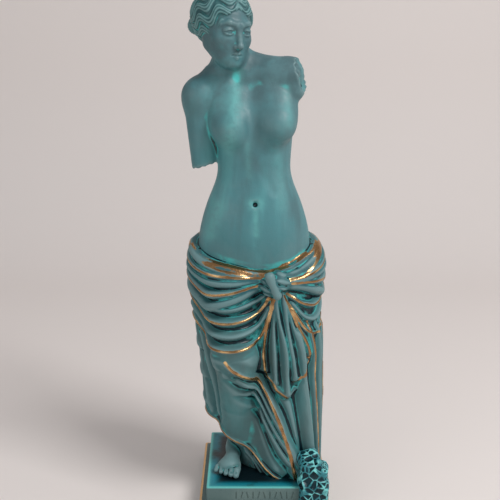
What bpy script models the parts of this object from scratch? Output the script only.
"""A half-draped classical goddess with lost arms, cast in one piece with its two-step plinth.

The figure is sculpted as a field: a function that is negative inside the cast and positive outside.
It is worked in sculptor's units, CANON of them to the figure's height, with z = 0 under the soles,
x to the viewer's right and the front towards -y. The plinth is worked in metres.
"""

import math

import bmesh
import bpy
import numpy as np
from mathutils import Matrix

FIGURE_HEIGHT = 0.292        # soles to crown
PLINTH_WIDTH = 0.070         # upper step, across the front
PLINTH_DEPTH = 0.075         # upper step, front to back
UPPER_STEP_HEIGHT = 0.010
LOWER_STEP_HEIGHT = 0.010
LEDGE_WIDTH = 0.0045         # how far the lower step stands out on every side
ARRIS_RADIUS = 0.0008        # softened edges of the plinth
FIGURE_SHIFT = 0.0039        # how far right of the plinth's middle the figure stands
FOOTING_DEPTH = 0.002        # how far the figure runs down into the plinth
SKIN_CELL = 1.2              # spacing of the sculpting grid, in sculptor's units
TRIANGLE_BUDGET = 9000
RELIEF_CELL = 0.6            # spacing of the relief that holds the folds, in sculptor's units
SETTLING = 1                 # rounds of smoothing over the folds

STROKE_HEIGHT = 0.0045       # the row of plain strokes cut into the upper step's front
STROKE_WIDTH = 0.0007
STROKE_DEPTH = 0.0004
STROKE_PITCH = 0.0034
STROKE_COUNT = 11
STONE_SEED = 11
STONE_CELLS = 110            # seeds of the pits in the broken stone
STONE_PIT = 1.8              # depth of a pit, in sculptor's units

CANON = 292.0
UNIT = FIGURE_HEIGHT / CANON


def vector(*values):
    return np.array(values, float)


def soft_min(a, b, reach):
    """The union of two fields, filleted over a distance of reach."""
    h = np.clip(0.5 + 0.5 * (b - a) / reach, 0, 1)
    return b + (a - b) * h - reach * h * (1 - h)


def soft_max(a, b, reach):
    return -soft_min(-a, -b, reach)


def ball(p, centre, radii, turn=None):
    """An ellipsoid, or a sphere where radii is one number."""
    q = p - np.asarray(centre, float)
    if turn is not None:
        q = q @ turn
    radii = np.broadcast_to(np.asarray(radii, float), 3)
    k0 = np.maximum(np.linalg.norm(q / radii, axis=1), 1e-3)
    k1 = np.maximum(np.linalg.norm(q / (radii * radii), axis=1), 1e-3 / radii.max())
    return k0 * (k0 - 1) / k1


def limb(p, start, end, start_radius, end_radius):
    """A rounded limb that tapers evenly between two points."""
    start = np.asarray(start, float)
    along = np.asarray(end, float) - start
    share = np.clip((p - start) @ along / (along @ along), 0, 1)
    gap = np.linalg.norm(p - start - share[:, None] * along, axis=1)
    return gap - (start_radius + (end_radius - start_radius) * share)


def turned(yaw, pitch, roll):
    """Columns are the turned axes: yaw about z, then pitch about x, then roll about y, in degrees."""
    cy, sy = math.cos(math.radians(yaw)), math.sin(math.radians(yaw))
    cp, sp = math.cos(math.radians(pitch)), math.sin(math.radians(pitch))
    cr, sr = math.cos(math.radians(roll)), math.sin(math.radians(roll))
    about_z = np.array([[cy, -sy, 0], [sy, cy, 0], [0, 0, 1]])
    about_x = np.array([[1, 0, 0], [0, cp, -sp], [0, sp, cp]])
    about_y = np.array([[cr, 0, sr], [0, 1, 0], [-sr, 0, cr]])
    return about_z @ about_x @ about_y


class Loft:
    """A body through rings. Each ring is (z, centre x, centre y, half width, front depth, back depth)."""

    SMOOTHING = 4.0

    def __init__(self, rings):
        rings = np.array(rings, float)
        self.low, self.high = rings[0, 0], rings[-1, 0]
        self.levels = np.arange(self.low - 20, self.high + 20, 0.5)
        steps = np.arange(-3 * self.SMOOTHING, 3 * self.SMOOTHING + 0.5, 0.5)
        weights = np.exp(-0.5 * (steps / self.SMOOTHING) ** 2)
        weights /= weights.sum()
        half = len(steps) // 2
        self.columns = [
            np.convolve(np.pad(np.interp(self.levels, rings[:, 0], c), half, "edge"), weights, "valid")
            for c in rings[:, 1:].T
        ]

    def __call__(self, p):
        x, y, wide, front, back = (np.interp(p[:, 2], self.levels, c) for c in self.columns)
        dx = (p[:, 0] - x) / wide
        deep = np.where(p[:, 1] < y, front, back)
        dy = (p[:, 1] - y) / deep
        k0 = np.maximum(np.hypot(dx, dy), 1e-3)
        k1 = np.maximum(np.hypot(dx / wide, dy / deep), 1e-3 / wide)
        side = k0 * (k0 - 1) / k1
        return np.maximum(side, np.maximum(self.low - p[:, 2], p[:, 2] - self.high))


TORSO = Loft([
    (112, -9, 2, 34, 17, 22), (135, -10, 0, 34, 18, 24), (150, -10, -1, 33, 18, 21),
    (159, -10, -1, 31, 17.5, 18.5), (170, -10, -1, 27.5, 17, 16), (181, -10, 0, 22.6, 15.5, 14.5),
    (188, -10, 0.5, 21, 15, 14.5), (200, -10.5, 1.5, 22.4, 15.5, 16), (212, -11.5, 2, 24.4, 15.5, 17.5),
    (224, -12.5, 3, 25.5, 14, 17.5), (233, -13.5, 4, 25, 11, 15), (243, -16, 5, 18, 8, 10),
])


def torso(p):
    d = TORSO(p)
    # shoulders and the roots of the arms
    d = soft_min(d, limb(p, (-41, 3, 232), (-22, 5, 238), 8.6, 8.5), 7)
    d = soft_min(d, limb(p, (-12, 5, 242), (9, 3, 243), 8.6, 9.6), 7)
    d = soft_min(d, limb(p, (-38, 5, 236), (-26, 5, 250), 6, 6), 8)
    d = soft_min(d, limb(p, (-6, 5, 246), (-18, 4, 252), 7, 6.5), 7)
    d = soft_min(d, limb(p, (-21, 5, 234), (-25, 1, 262), 9.4, 8.4), 6)
    # breasts, each on the broader swell of the chest
    d = soft_min(d, ball(p, (-24, -4.5, 221), (12.5, 9, 15), turned(0, -14, 0)), 7)
    d = soft_min(d, ball(p, (-23.2, -11.4, 212), (9.8, 9.2, 9.6)), 8)
    d = soft_min(d, ball(p, (2.6, -4.5, 224), (12.5, 9, 15), turned(0, -14, 0)), 7)
    d = soft_min(d, ball(p, (3.2, -11.4, 214.5), (9.8, 9.2, 9.6)), 8)
    # belly, flanks and buttocks
    d = soft_min(d, ball(p, (-10, -6.5, 152), (19, 10.5, 15)), 9)
    d = soft_min(d, ball(p, (-24, 13, 132), (19, 16, 19)), 7)
    d = soft_min(d, ball(p, (3, 13, 133), (19, 16, 19)), 7)
    # shoulder blades and the furrow of the spine
    d = soft_min(d, ball(p, (-27, 15, 222), (9, 5, 12)), 7)
    d = soft_min(d, ball(p, (4, 15, 226), (9, 5, 12)), 7)
    d = soft_max(d, -limb(p, (-18, 24.5, 236), (-10, 21, 196), 3, 3.5), 5)
    d = soft_max(d, -limb(p, (-10, 21, 196), (-12, 22.5, 160), 3.5, 3), 5)
    # collar bones and the pit of the neck
    d = soft_min(d, limb(p, (-17, -3.5, 240), (4, -3, 246), 1.6, 1.6), 3.5)
    d = soft_min(d, limb(p, (-23, -3.5, 239), (-38, -1, 239), 1.6, 1.6), 3.5)
    d = soft_max(d, -ball(p, (-20, -9.5, 241.5), 3.6), 4)
    # middle line of the chest and belly, and the navel
    d = soft_max(d, -limb(p, (-12.5, -18.0, 226), (-10, -18.6, 199), 1.6, 2.0), 4)
    d = soft_max(d, -limb(p, (-10, -18.2, 196), (-9.5, -20.0, 176), 1.6, 1.2), 3.5)
    d = soft_max(d, -limb(p, (-9.5, -22.2, 163), (-10, -23.2, 148), 1.2, 1.2), 4)
    d = soft_max(d, -limb(p, (-9.5, -23, 171.5), (-9.5, -17.0, 169.5), 2.3, 1.4), 1.8)
    return d


def arm_stump(p):
    """The right upper arm, broken off across its lower half."""
    arm = limb(p, (-42.4, 2, 231), (-38.5, 0, 184), 9.2, 7.6)
    arm = soft_min(arm, ball(p, (-41.8, 1, 229), (9.8, 9.5, 11)), 4)
    cut = (p - vector(-38.5, 0, 191)) @ vector(0.28, 0.05, -0.95)
    uneven = np.sin(0.8 * p[:, 0] + 1.1 * p[:, 1]) + np.sin(1.2 * p[:, 1] - 0.7 * p[:, 0])
    return soft_max(arm, cut + 0.3 * uneven, 0.8)


def shoulder_stump(p):
    """The left shoulder, with the arm lost at the joint in a rough break."""
    stump = limb(p, (1, 3, 241.5), (15, 1, 242), 10.4, 10.0)
    stump = soft_min(stump, ball(p, (13.5, -3, 234), (5.5, 5.5, 6)), 3)
    cut = (p - vector(16.0, 0, 244)) @ vector(0.93, -0.2, 0.3)
    ragged = np.sin(1.3 * p[:, 1] + 0.9 * p[:, 2]) + np.sin(1.1 * p[:, 2] - 0.8 * p[:, 1] + 1)
    scooped = ball(p, (23, -3, 240.5), (8.5, 7.5, 8))
    return soft_max(soft_max(stump, cut + 0.45 * ragged, 0.8), -scooped - 0.3 * ragged, 1.0)


HEAD_CENTRE = vector(-27, -1, 268.8)
HEAD_TURN = turned(34, 8, 3)
HEAD_SCALE = 1.08          # sculptor's units to a unit of the head's own axes
MOUTH_LEVEL = -11.8
EYE_LEVEL = -0.2


def mirrored(q):
    """The head folded about its middle plane, so that one side's features serve both."""
    return np.column_stack([np.abs(q[:, 0]), q[:, 1], q[:, 2]])


def face(q):
    """The head without its hair, in its own axes: the face looks along -y, chin at z = -19, crown at 19."""
    m = mirrored(q)
    d = ball(q, (0, 3, 4.5), (13.4, 16.0, 14.2))
    d = soft_min(d, ball(q, (0, -3.4, -3.5), (11.4, 11.4, 12.0)), 5)
    d = soft_min(d, ball(q, (0, -7.8, -11.5), (7.8, 7.0, 6.8)), 5)
    d = soft_min(d, limb(m, (8.2, 1, -9), (2.5, -10.2, -15.8), 3.2, 2.6), 4)
    d = soft_min(d, ball(q, (0, -12.2, -16.2), (3.2, 2.6, 2.6)), 2.5)
    d = soft_min(d, ball(m, (7.2, -8.8, -4.6), (3.6, 3.6, 3.4)), 4)
    # sockets, brows and nose
    d = soft_max(d, -ball(m, (5.6, -15.0, 0.0), (3.4, 2.9, 2.0)), 2.4)
    d = soft_min(d, limb(m, (2.0, -14.2, 2.6), (8.0, -11.2, 2.6), 1.2, 1.0), 2.2)
    d = soft_min(d, limb(q, (0, -13.4, 3.4), (0, -16.6, -6.4), 1.3, 1.5), 1.8)
    d = soft_min(d, ball(q, (0, -16.9, -7.0), (1.6, 1.7, 1.4)), 1.2)
    d = soft_min(d, ball(m, (1.7, -15.0, -7.4), (1.2, 1.7, 1.2)), 0.8)
    d = soft_max(d, -ball(m, (0.95, -16.0, -8.7), (0.5, 0.9, 0.6)), 0.4)
    # eyes, each under its two lids
    eye = ball(m, (5.2, -11.2, EYE_LEVEL), 2.6)
    lids = np.maximum(ball(m, (5.2, -11.2, EYE_LEVEL), 3.1), -np.abs(m[:, 2] - EYE_LEVEL + 0.1) + 0.75)
    d = soft_min(d, soft_min(eye, lids, 0.2), 0.5)
    # mouth
    d = soft_min(d, limb(m, (0.6, -14.9, MOUTH_LEVEL + 0.9), (3.3, -13.1, MOUTH_LEVEL), 0.95, 0.4), 0.9)
    d = soft_min(d, limb(m, (0, -14.7, MOUTH_LEVEL - 1.15), (2.6, -13.4, MOUTH_LEVEL - 0.3), 1.15, 0.5), 0.9)
    d = soft_max(d, -limb(m, (0, -16.0, MOUTH_LEVEL), (3.7, -13.9, MOUTH_LEVEL - 0.2), 0.32, 0.3), 0.3)
    d = soft_max(d, -ball(q, (0, -15.9, MOUTH_LEVEL + 2.5), (0.7, 0.8, 1.2)), 0.8)
    return d


LOCK_POLE = vector(0.66, 0.62, -0.42)
LOCKS = 13
HAIR_CENTRE = vector(0, 4.4, 5.0)


def lock_lines(m):
    """Where points lie across the locks, in radians, and how deep the grooves are there.

    The grooves run in waves from the parting to a pole behind each ear.
    """
    pole = LOCK_POLE / np.linalg.norm(LOCK_POLE)
    side = np.cross(pole, vector(0, 0, 1))
    side /= np.linalg.norm(side)
    rise = np.cross(side, pole)
    r = m - HAIR_CENTRE
    out = r / np.maximum(np.linalg.norm(r, axis=1), 1e-6)[:, None]
    reach = np.arccos(np.clip(out @ pole, -1, 1))
    across = LOCKS * np.arctan2(out @ side, out @ rise) + 2.0 * np.sin(reach * 8)
    return across, np.clip(reach / 0.5, 0, 1) * np.clip(m[:, 0] / 2, 0.3, 1)


def hair(q):
    """Wavy hair parted in the middle and drawn back over the ears into a knot."""
    m = mirrored(q)
    d = ball(q, HAIR_CENTRE, (15.4, 17.9, 15.3))
    opening = ball(q, (0, -18, -6.5), (12.6, 14.5, 19.5))
    d = soft_max(d, -opening, 1.5)
    across, strength = lock_lines(m)
    d = d - 1.4 * strength * (np.abs(np.cos(across / 2)) - 0.55)
    d = soft_max(d, -limb(m, (0, -14.5, 13.6), (0, 3, 21.8), 0.5, 0.6), 1.2)
    # the knot at the nape
    knot = q - HAIR_CENTRE - vector(0, 18.5, -5)
    turn = np.arctan2(knot[:, 2], m[:, 0])
    swirl = 1.2 * np.abs(np.sin(2.5 * turn + 0.35 * np.linalg.norm(knot, axis=1)))
    return soft_min(d, ball(m, (0, 22.0, -0.5), (7.5, 7.0, 6.8)) - swirl, 1.5)


def head(p):
    q = (p - HEAD_CENTRE) @ HEAD_TURN / HEAD_SCALE
    d = HEAD_SCALE * soft_min(face(q), hair(q), 0.5)
    # a lock that has slipped down the side of the neck
    curl = np.outer(0.8 * np.sin(0.6 * p[:, 2]), (1, 0, 0))
    return soft_min(d, limb(p - curl, (-33.4, 6, 258), (-31.6, 7, 242), 1.9, 1.1), 1.0)


def foot(p):
    """The right foot, bare to the ankle, with five toes."""
    d = limb(p, (-21, 4, 16), (-22, -1, 9), 5.8, 5.2)
    d = soft_min(d, limb(p, (-22, -2, 8.0), (-25, -17, 4.4), 5.2, 3.8), 4)
    d = soft_min(d, ball(p, (-25.6, -16, 3.0), (7.4, 7, 4.4)), 4)
    d = soft_min(d, ball(p, (-18.4, 1, 8.5), 3.0), 3)
    for n in range(5):
        share = n / 4
        root = vector(-20.2 - 11.2 * share, -20.0 + 5.0 * share ** 1.5, 3.0)
        knuckle = root + vector(-0.6 - 0.8 * share, -3.6 + 0.8 * share, 0.5)
        tip = knuckle + vector(-0.4 - 0.4 * share, -3.2 + 0.8 * share, -1.2)
        size = 2.1 - 0.7 * share ** 0.6
        toe = soft_min(limb(p, root, knuckle, size, size), limb(p, knuckle, tip, size, 0.9 * size), 0.6)
        nail = ball(p, tip + vector(-0.1, -0.9, 0.9 * size), (0.7 * size, 0.8 * size, 0.35 * size))
        d = soft_min(d, soft_max(toe, -nail, 0.2), 0.5)
    return d


AXIS_TOP, AXIS_BOTTOM = -12.0, 6.0     # the mantle's middle, at its top and at the soles
AXIS_DEPTH = 3.0
MANTLE_TOP = 150.0
DRUM_WIDTH, DRUM_DEPTH = 36.0, 24.0    # the oval drum that the folds are laid out on
DRUM_ARC = 0.52                        # sculptor's units to a degree round the drum

MANTLE = Loft([
    (-20, 3.5, 4, 24.5, 20, 22), (22, 3, 4, 26.5, 20, 22), (44, 1, 4, 29, 19, 22), (60, -2, 3, 31.5, 18, 22),
    (95, -7.5, 3, 34, 18, 23), (125, -10, 2, 35.5, 18, 25), (140, -10.5, 1, 35, 17.5, 25),
])


def drape_base(p):
    """The mantle before its folds: straight over the left leg, with the bent right knee under the cloth."""
    standing = limb(p, (8, 2, 128), (10, -6, 80), 21, 16)
    standing = soft_min(standing, limb(p, (10, -6, 80), (11, -10, 4), 16, 16.5), 8)
    free = limb(p, (-24, 0, 126), (-22, -21, 78), 19, 12)
    free = soft_min(free, limb(p, (-22, -21, 78), (-20, -5, 24), 12, 9), 5)
    hanging = limb(p, (-38, 5, 112), (-31, 6, 34), 8, 8)
    seat = soft_min(ball(p, (-24, 13, 128), (21, 18.5, 24)), ball(p, (3, 13, 129), (21, 18.5, 24)), 8)
    legs = soft_min(soft_min(standing, free, 6), soft_min(hanging, seat, 8), 6)
    return soft_min(legs, MANTLE(p), 8)


def axis_at(z):
    """Centre of the mantle's turn at a height."""
    return AXIS_BOTTOM + (AXIS_TOP - AXIS_BOTTOM) * np.clip(z / MANTLE_TOP, 0, 1)


def round_drum(p):
    """Degrees round the drum from the front, towards the viewer's right."""
    across = (p[:, 0] - axis_at(p[:, 2])) / DRUM_WIDTH
    forward = (AXIS_DEPTH - p[:, 1]) / DRUM_DEPTH
    return np.degrees(np.arctan2(across, forward))


def smooth_line(stations, spacing):
    """Points on a smooth curve through the stations (a Catmull-Rom spline)."""
    s = np.array(stations, float)
    s = np.vstack([2 * s[0] - s[1], s, 2 * s[-1] - s[-2]])
    made = []
    for a, b, c, d in zip(s, s[1:], s[2:], s[3:]):
        steps = max(2, int(np.linalg.norm(c - b) / spacing))
        for t in np.arange(steps) / steps:
            made.append(0.5 * (2 * b + (c - a) * t + (2 * a - 5 * b + 4 * c - d) * t ** 2
                               + (3 * b - a - 3 * c + d) * t ** 3))
    made.append(s[-2])
    return np.array(made)


PLEAT = (1.0, 1.4)     # the profile across a ridge: a sharp pleat, or a round cord
CORD = (2.0, 0.8)


class Relief:
    """The folds of the mantle as heights laid out on the drum, in degrees round it and height up it."""

    LOW, HIGH = -6.0, 166.0

    def __init__(self):
        self.columns = int(round(360 * DRUM_ARC / RELIEF_CELL))
        self.rows = int(round((self.HIGH - self.LOW) / RELIEF_CELL)) + 1
        self.step = 360 * DRUM_ARC / self.columns
        self.up = np.zeros((self.columns, self.rows))
        self.down = np.zeros((self.columns, self.rows))

    def fold(self, stations, width, height, furrow=0.7, sides=(-1, 1), shelf=0.0, fade=(6, 6),
             crest=PLEAT):
        """A ridge along a line of (degrees, height) stations, with furrows beside it.

        A shelf lifts the cloth on the ridge's left hand, or on its right where it is negative, as one
        layer lies on another.
        """
        line = smooth_line(np.array(stations, float) * (DRUM_ARC, 1), 1.5)
        travelled = np.concatenate([[0], np.cumsum(np.linalg.norm(np.diff(line, axis=0), axis=1))])
        margin = max(2.2 * width, 14.0 if shelf else 0)
        low = np.floor((line.min(0) - margin - (0, self.LOW)) / (self.step, RELIEF_CELL)).astype(int)
        high = np.ceil((line.max(0) + margin - (0, self.LOW)) / (self.step, RELIEF_CELL)).astype(int)
        low[1], high[1] = max(low[1], 0), min(high[1], self.rows - 1)
        u = np.arange(low[0], high[0] + 1) * self.step
        z = np.arange(low[1], high[1] + 1) * RELIEF_CELL + self.LOW
        best = np.full((len(u), len(z)), 1e9)
        hand = np.zeros_like(best)
        place = np.zeros_like(best)
        for a, b, start in zip(line, line[1:], travelled):
            i0, i1 = np.searchsorted(u, [min(a[0], b[0]) - margin, max(a[0], b[0]) + margin])
            k0, k1 = np.searchsorted(z, [min(a[1], b[1]) - margin, max(a[1], b[1]) + margin])
            du = u[i0:i1, None] - a[0]
            dz = z[None, k0:k1] - a[1]
            along = b - a
            length = math.hypot(*along)
            share = np.clip((du * along[0] + dz * along[1]) / length ** 2, 0, 1)
            gap = np.hypot(du - share * along[0], dz - share * along[1])
            window = best[i0:i1, k0:k1]
            closer = gap < window
            window[closer] = gap[closer]
            hand[i0:i1, k0:k1][closer] = np.sign(along[0] * dz - along[1] * du)[closer]
            place[i0:i1, k0:k1][closer] = (start + share * length)[closer]
        ends = np.clip(place / max(fade[0], 1e-6), 0, 1)
        ends = ends * np.clip((travelled[-1] - place) / max(fade[1], 1e-6), 0, 1)
        swell = ends ** 0.6
        ridge = np.clip(1 - (best / width) ** crest[0], 0, 1) ** crest[1] * height * swell
        if shelf:
            lifted = abs(shelf) * np.exp(-best / 9.0) * swell
            ridge = np.maximum(ridge, np.where(hand * shelf > 0, lifted, 0))
        dent = np.zeros_like(best)
        for side in sides:
            off = np.where(hand == side, best, 1e3)
            share = np.clip(1 - ((off - width) / (0.85 * width)) ** 2, 0, 1)
            dent = np.maximum(dent, share ** 2 * furrow * height * swell)
        where = np.ix_(np.arange(low[0], high[0] + 1) % self.columns, np.arange(low[1], high[1] + 1))
        np.maximum.at(self.up, where, ridge)
        np.maximum.at(self.down, where, dent)

    def settle(self):
        """Joins ridges and furrows, and rounds them a little, as paint and casting do."""
        folds = self.up - self.down * np.exp(-self.up / 1.2)
        for _ in range(SETTLING):
            folds = 0.5 * folds + 0.25 * (np.roll(folds, 1, 0) + np.roll(folds, -1, 0))
            padded = np.pad(folds, ((0, 0), (1, 1)), "edge")
            folds = 0.5 * folds + 0.25 * (padded[:, 2:] + padded[:, :-2])
        self.folds = folds

    def read(self, layer, degrees, z):
        """A layer of the relief, read between its points."""
        i = (degrees % 360) * DRUM_ARC / self.step
        k = np.clip((z - self.LOW) / RELIEF_CELL, 0, self.rows - 1.001)
        i0, k0 = np.floor(i).astype(int), np.floor(k).astype(int)
        fi, fk = i - i0, k - k0
        i0, i1 = i0 % self.columns, (i0 + 1) % self.columns
        return ((layer[i0, k0] * (1 - fk) + layer[i0, k0 + 1] * fk) * (1 - fi)
                + (layer[i1, k0] * (1 - fk) + layer[i1, k0 + 1] * fk) * fi)


# the rolled upper edge: degrees round the drum, height
RIM = np.array([(-180, 156), (-135, 153), (-95, 149), (-60, 142), (-30, 136), (0, 132), (18, 131), (40, 134),
                (65, 142), (90, 149), (135, 154), (180, 156)], float)
KNOT = 18                  # degrees round the drum
KNOT_CENTRE = vector(2, -21.5, 123)


def rim(degrees):
    return np.interp((np.asarray(degrees, float) + 180) % 360 - 180, RIM[:, 0], RIM[:, 1])


def add_roll(relief):
    """The bunched roll: cords that pass once round the hips, from the knot back to it."""
    for n in range(5):
        share = n / 4
        stations = []
        for degrees in range(KNOT - 360, KNOT + 1, 20):
            spread = 22 + 5 * math.sin(math.radians(degrees + 180)) ** 2
            twist = 1.6 * math.sin(math.radians(1.6 * degrees + 80 * n))
            from_knot = min(degrees - KNOT + 360, KNOT - degrees)
            loose = np.clip(from_knot / 55, 0.2, 1)
            stations.append((degrees, rim(degrees) - 4 - spread * share * loose + twist * loose))
        relief.fold(stations, 3.7, 4.8 - 0.9 * abs(share - 0.4),
                    furrow=0.6, fade=(3, 3), crest=CORD)


def add_apron(relief):
    """The doubled cloth below the roll: festoons that hang from the knot to either hip, and its hem."""
    for n in range(4):
        sag = 7.5 * n
        relief.fold([(KNOT - 6, 118 - 3 * n), (-4, 112 - sag), (-30, 108 - sag), (-62, 112 - sag),
                     (-100, 122 - 7 * n)],
                    4.2, 3.6, shelf=2.4 if n == 3 else 0, fade=(5, 6))
    for n in range(3):
        sag = 8.5 * n
        relief.fold([(KNOT + 6, 118 - 3 * n), (40, 110 - sag), (64, 109 - sag), (100, 120 - 8 * n)],
                    4.0, 3.4, shelf=2.4 if n == 2 else 0, fade=(5, 6))


def add_tails(relief):
    """The two ends that fall from the knot, side by side, each with an upright edge and pleats."""
    for lean, bottom in ((-1, 52), (1, 62)):
        for n in range(3):
            foot_line = KNOT + lean * (4 + 8 * n)
            relief.fold([(KNOT + 2 * lean, 121), (KNOT + lean * (3 + 3 * n), 104),
                         (foot_line - 2 * lean, 84), (foot_line, bottom + 7 * n)],
                        3.0, 4.6 - 0.6 * n, fade=(2, 3), shelf=2.6 * lean if n == 2 else 0)
        relief.fold([(KNOT + 3 * lean, bottom), (KNOT + 12 * lean, bottom + 5),
                     (KNOT + 14 * lean, bottom + 9), (KNOT + 20 * lean, bottom + 14)],
                    2.2, 2.6, fade=(1, 1), shelf=2.4 * lean)


def add_knee(relief):
    """The taut folds that run from the bent knee across to the straight leg and down."""
    for n in range(4):
        relief.fold([(-24 + 3 * n, 80 - 12 * n), (-12 + 3 * n, 66 - 13 * n), (2 + 2 * n, 44 - 11 * n),
                     (9 + 5 * n, 20 - 8 * n), (12 + 7 * n, -4)], 3.8, 3.2, fade=(8, 0))
    relief.fold([(-112, 38), (-84, 30), (-56, 24), (-34, 15), (-14, 5), (2, -2)], 3.4, 3.0, sides=(-1,),
                shelf=1.6, fade=(5, 2))
    for n in range(3):
        relief.fold([(-46 + 12 * n, 13 - 3 * n), (-32 + 12 * n, 7 - 3 * n), (-14 + 10 * n, -4)], 2.6, 2.4,
                    fade=(4, 0))


def add_hangings(relief):
    """The upright folds at the bent leg's side."""
    for n in range(4):
        degrees = -116 + 13 * n
        relief.fold([(degrees, 100), (degrees + 2, 74), (degrees + 6, 50), (degrees + 10, 30)], 3.8, 2.6,
                    fade=(8, 6))


def add_steps(relief):
    """The edges of cloth that hang in steps at the bent leg's side."""
    for n in range(3):
        level = 82 - 19 * n
        relief.fold([(-142, level + 10), (-118, level + 5), (-98, level - 1), (-78, level - 8)],
                    3.0, 3.4, sides=(-1,), shelf=3.0, fade=(8, 5))


def add_falls(relief):
    """The deep straight falls over the weight-bearing leg and all round the back."""
    for n in range(5):
        degrees = 32 + 14 * n
        relief.fold([(degrees - 4, 100), (degrees - 2, 70), (degrees, 36), (degrees + 1, -4)],
                    4.8, 4.4 - 0.3 * (n % 2), fade=(8, 0))
    for n in range(10):
        degrees = 104 + 15.5 * n
        sway = 4 * math.sin(n * 1.7)
        relief.fold([(degrees, 121 - 5 * (n % 3)), (degrees + sway, 80),
                     (degrees + sway / 2, 40), (degrees, -4)],
                    6.0, 3.8 + 0.8 * math.sin(n * 2.3), fade=(16, 0))


RELIEF = Relief()
for add_to in (add_roll, add_apron, add_tails, add_knee, add_hangings, add_steps, add_falls):
    add_to(RELIEF)
RELIEF.settle()


def knot(p):
    """The knot of the mantle: a bunch of cloth with a band across it."""
    r = p - KNOT_CENTRE
    bunch = ball(p, KNOT_CENTRE, (8.6, 6.4, 6.6), turned(0, 0, -25))
    pleats = 0.5 * np.cos(1.5 * (r[:, 2] + 0.35 * r[:, 0]))
    band = limb(p, KNOT_CENTRE + (-3.0, -5.0, 5.5), KNOT_CENTRE + (1.5, -5.4, -5.5), 3.0, 2.6)
    return soft_min(bunch - pleats, band, 1.0)


def drapery(p):
    degrees, z = round_drum(p), p[:, 2]
    d = drape_base(p) - RELIEF.read(RELIEF.folds, degrees, z)
    # the upper edge slopes down away from the skin
    brim = z - rim(degrees) + 0.8 * np.maximum(TORSO(p), 0) - 1.5
    return soft_min(soft_max(d, brim, 4.0), knot(p), 2.0)


def cells(p, seeds):
    """How far each point is from the border between its nearest seed and the next."""
    gaps = np.sort([np.linalg.norm(p - seed, axis=1) for seed in seeds], axis=0)
    return gaps[1] - gaps[0]


STONE_CORNER = vector(PLINTH_WIDTH / 2 - FIGURE_SHIFT, -PLINTH_DEPTH / 2, 0) / UNIT
STONE_LUMPS = (((-5.5, 4, -3), (8.2, 8, 9), (6, 4, 3)), ((-5, 5.5, 6), (7.4, 8.5, 7), (-8, -6, 12)),
               ((-7, 8, 11), (6.2, 7.5, 6.5), (10, 9, -14)))
STONE_SEEDS = np.random.default_rng(STONE_SEED).uniform((-19, -9, -14), (8, 18, 21), (STONE_CELLS, 3))


def off_plinth(p):
    """Distance out from the two steps of the plinth."""
    across = np.abs(p[:, 0] + FIGURE_SHIFT / UNIT) - PLINTH_WIDTH / 2 / UNIT
    outward = np.maximum(across, np.abs(p[:, 1]) - PLINTH_DEPTH / 2 / UNIT)
    return np.minimum(np.maximum(outward, p[:, 2]), p[:, 2] + UPPER_STEP_HEIGHT / UNIT)


def broken_stone(p):
    """The rough break at the plinth's corner, where the left foot is lost: a pitted block."""
    r = p - STONE_CORNER
    block = np.full(len(p), 1e3)
    for centre, half, angles in STONE_LUMPS:
        over = np.abs((r - centre) @ turned(*angles)) - vector(*half) + 2.5
        lump = np.linalg.norm(np.maximum(over, 0), axis=1) + np.minimum(over.max(1), 0) - 2.5
        block = soft_min(block, lump, 2.5)
    near = np.nonzero(block < 4)[0]
    bared = np.clip(off_plinth(p[near]) / 1.5, 0, 1)
    block[near] += STONE_PIT * bared * np.clip(cells(r[near], STONE_SEEDS) / 3.4, 0, 1) - 0.4 * STONE_PIT
    return soft_max(block, -UPPER_STEP_HEIGHT / UNIT - 1 - p[:, 2], 0.3)


def figure(p):
    d = torso(p)
    d = soft_min(d, arm_stump(p), 2.5)
    d = soft_min(d, shoulder_stump(p), 3)
    d = soft_min(d, head(p), 2)
    d = soft_min(d, foot(p), 1)
    d = soft_min(d, drapery(p), 0.8)
    d = soft_max(d, -p[:, 2] - FOOTING_DEPTH / UNIT, 0.1)
    return soft_min(d, broken_stone(p), 0.8)


BLOCK = 4


def lattice(low, high, spacing):
    return [np.arange(a, b + spacing, spacing) for a, b in zip(low, high)]


def points_of(xs, ys, zs):
    return np.stack(np.meshgrid(xs, ys, zs, indexing="ij"), -1).reshape(-1, 3)


def sampled(field, axes):
    """The field on the lattice, worked out only near the surface."""
    shape = tuple(len(a) for a in axes)
    centres = [a[BLOCK // 2::BLOCK] if len(a) > BLOCK // 2 else a[:1] for a in axes]
    centres = [
        np.append(c, a[-1]) if len(c) * BLOCK < len(a) else c for c, a in zip(centres, axes)
    ]
    coarse = field(points_of(*centres)).reshape([len(c) for c in centres])
    reach = BLOCK * math.sqrt(sum((a[1] - a[0]) ** 2 for a in axes)) / 2
    near = np.abs(coarse) < 1.4 * reach + 1
    for axis in range(3):
        coarse = np.repeat(coarse, BLOCK, axis)
        near = np.repeat(near, BLOCK, axis)
    cut = tuple(slice(0, n) for n in shape)
    values, near = coarse[cut].copy(), near[cut]
    where = np.nonzero(near)
    found = np.empty(len(where[0]))
    for start in range(0, len(found), 200000):
        part = slice(start, start + 200000)
        found[part] = field(np.stack([a[i[part]] for a, i in zip(axes, where)], -1))
    values[where] = found
    return values


def corner_view(values, u, v, i, j):
    """The lattice less a layer along u and along v: the first where i or j is 1, and otherwise the last."""
    cut = [slice(None)] * 3
    cut[u] = slice(i, values.shape[u] - 1 + i)
    cut[v] = slice(j, values.shape[v] - 1 + j)
    return values[tuple(cut)]


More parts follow.
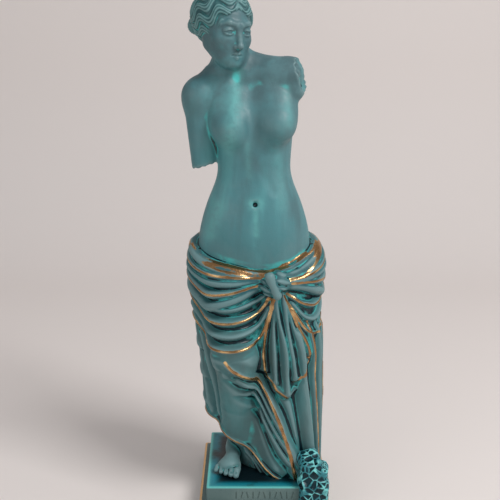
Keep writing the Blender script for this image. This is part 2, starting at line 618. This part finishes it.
def parted(values, gap):
    """Lattice values in which no two parts of the skin touch along an edge or at a corner."""
    for _ in range(30):
        changed = 0
        for u, v in ((0, 1), (0, 2), (1, 2)):
            a, b, c, d = (corner_view(values, u, v, i, j) for i, j in ((0, 0), (1, 0), (1, 1), (0, 1)))
            for near, far, near_out, far_out in ((a, c, b, d), (b, d, a, c)):
                crossed = (near < 0) & (far < 0) & (near_out >= 0) & (far_out >= 0)
                changed += crossed.sum()
                first = crossed & (near_out <= far_out)
                near_out[first] = -gap
                far_out[crossed & ~first] = -gap
        if not changed:
            break
    return values


def surface(field, axes):
    """Points and quads of the field's zero surface: one point in each cell that the surface crosses."""
    values = parted(sampled(field, axes), (axes[0][1] - axes[0][0]) / 20)
    inside = values < 0
    counts = np.zeros([n - 1 for n in inside.shape], np.int8)
    corners = [(i, j, k) for i in (0, 1) for j in (0, 1) for k in (0, 1)]
    for i, j, k in corners:
        counts += inside[i:i + counts.shape[0], j:j + counts.shape[1], k:k + counts.shape[2]]
    cells = np.nonzero((counts > 0) & (counts < 8))
    index = np.full(counts.shape, -1, np.int64)
    index[cells] = np.arange(len(cells[0]))
    total = np.zeros((len(cells[0]), 3))
    crossings = np.zeros(len(cells[0]))
    for a in corners:
        for b in corners:
            if sum(b) - sum(a) != 1 or any(v < u for u, v in zip(a, b)):
                continue
            ia = tuple(c + o for c, o in zip(cells, a))
            ib = tuple(c + o for c, o in zip(cells, b))
            va, vb = values[ia], values[ib]
            hit = (va < 0) != (vb < 0)
            share = np.where(hit, va / np.where(hit, va - vb, 1), 0)
            pa = np.stack([axis[i] for axis, i in zip(axes, ia)], -1)
            pb = np.stack([axis[i] for axis, i in zip(axes, ib)], -1)
            total += np.where(hit[:, None], pa + (pb - pa) * share[:, None], 0)
            crossings += hit
    points = total / crossings[:, None]
    quads = []
    for axis in range(3):
        u, v = (axis + 1) % 3, (axis + 2) % 3
        first = [slice(None)] * 3
        second = [slice(None)] * 3
        first[axis], second[axis] = slice(0, -1), slice(1, None)
        for s in (first, second):
            s[u] = slice(1, -1)
            s[v] = slice(1, -1)
        a, b = inside[tuple(first)], inside[tuple(second)]
        for leaving in (True, False):
            i = list(np.nonzero(a & ~b if leaving else ~a & b))
            i[u] = i[u] + 1
            i[v] = i[v] + 1
            ring = []
            for du, dv in ((-1, -1), (0, -1), (0, 0), (-1, 0)):
                j = list(i)
                j[u] = i[u] + du
                j[v] = i[v] + dv
                ring.append(index[tuple(j)])
            quads.append(np.stack(ring if leaving else ring[::-1], -1))
    return whole(points, np.concatenate(quads))


def whole(points, quads):
    """The largest connected skin, without crumbs or sealed bubbles."""
    label = np.arange(len(points))
    while True:
        lowest = label[quads].min(1)
        spread = label.copy()
        for corner in range(4):
            np.minimum.at(spread, quads[:, corner], lowest)
        spread = spread[spread]
        if (spread == label).all():
            break
        label = spread
    kept = label == np.bincount(label).argmax()
    renamed = np.cumsum(kept) - 1
    return points[kept], renamed[quads[kept[quads[:, 0]]]]


def material(name, colour, roughness, metallic=0.0):
    made = bpy.data.materials.new(name)
    made.use_nodes = True
    shader = made.node_tree.nodes["Principled BSDF"]
    shader.inputs["Base Color"].default_value = (*colour, 1)
    shader.inputs["Roughness"].default_value = roughness
    shader.inputs["Metallic"].default_value = metallic
    return made


def linked(name, mesh):
    made = bpy.data.objects.new(name, mesh)
    bpy.context.scene.collection.objects.link(made)
    return made


def helper(made):
    """A shape that only cuts or joins another."""
    made.hide_render = True
    made.display_type = "WIRE"
    return made


def plinth():
    """The two-step plinth, as rings of corners from its underside up."""
    bm = bmesh.new()
    top = LOWER_STEP_HEIGHT + UPPER_STEP_HEIGHT
    rings = []
    for step, z in ((LEDGE_WIDTH, 0), (LEDGE_WIDTH, LOWER_STEP_HEIGHT), (0, LOWER_STEP_HEIGHT), (0, top)):
        wide, deep = PLINTH_WIDTH / 2 + step, PLINTH_DEPTH / 2 + step
        corners = ((-1, -1), (1, -1), (1, 1), (-1, 1))
        rings.append([bm.verts.new((x * wide, y * deep, z)) for x, y in corners])
    for under, over in zip(rings, rings[1:]):
        for a, b, c, d in zip(under, under[1:] + under[:1], over[1:] + over[:1], over):
            bm.faces.new((a, b, c, d))
    bm.faces.new(rings[0][::-1])
    bm.faces.new(rings[-1])
    mesh = bpy.data.meshes.new("plinth")
    bm.to_mesh(mesh)
    bm.free()
    made = helper(linked("plinth_shape", mesh))
    bevel = made.modifiers.new("soft_arris", "BEVEL")
    bevel.width = ARRIS_RADIUS
    bevel.segments = 2
    bevel.limit_method = "ANGLE"
    return made


def strokes():
    """A row of plain upright and leaning strokes, as cutters for the front of the upper step."""
    bm = bmesh.new()
    middle = LOWER_STEP_HEIGHT + UPPER_STEP_HEIGHT / 2
    for n in range(STROKE_COUNT):
        x = (n - (STROKE_COUNT - 1) / 2) * STROKE_PITCH
        lean = math.radians((0, 14, -14)[n % 3])
        made = bmesh.ops.create_cube(bm, size=1)["verts"]
        bmesh.ops.scale(bm, verts=made, vec=(STROKE_WIDTH, 2 * STROKE_DEPTH, STROKE_HEIGHT))
        turn = Matrix.Rotation(lean, 3, "Y")
        bmesh.ops.rotate(bm, verts=made, cent=(0, 0, 0), matrix=turn)
        bmesh.ops.translate(bm, verts=made, vec=(x, -PLINTH_DEPTH / 2, middle))
    mesh = bpy.data.meshes.new("strokes")
    bm.to_mesh(mesh)
    bm.free()
    return helper(linked("stroke_cutters", mesh))


def boolean(made, operation, other):
    step = made.modifiers.new(other.name, "BOOLEAN")
    step.operation = operation
    step.object = other


def statue():
    low, high = (-62, -56, -20), (54, 44, CANON + 8)
    points, quads = surface(figure, lattice(low, high, SKIN_CELL))
    mesh = bpy.data.meshes.new("statue")
    points = points * UNIT + (FIGURE_SHIFT, 0, LOWER_STEP_HEIGHT + UPPER_STEP_HEIGHT)
    mesh.from_pydata(points.tolist(), [], quads.tolist())
    made = linked("statue", mesh)
    fewer = made.modifiers.new("fewer_faces", "DECIMATE")
    fewer.ratio = TRIANGLE_BUDGET / (2 * len(quads))
    boolean(made, "UNION", plinth())
    boolean(made, "DIFFERENCE", strokes())
    mesh.shade_smooth()
    mesh.materials.append(material("patina", (0.1, 0.25, 0.26), 0.6))
    return made


def main():
    for old in list(bpy.data.objects):
        bpy.data.objects.remove(old)
    statue()


main()
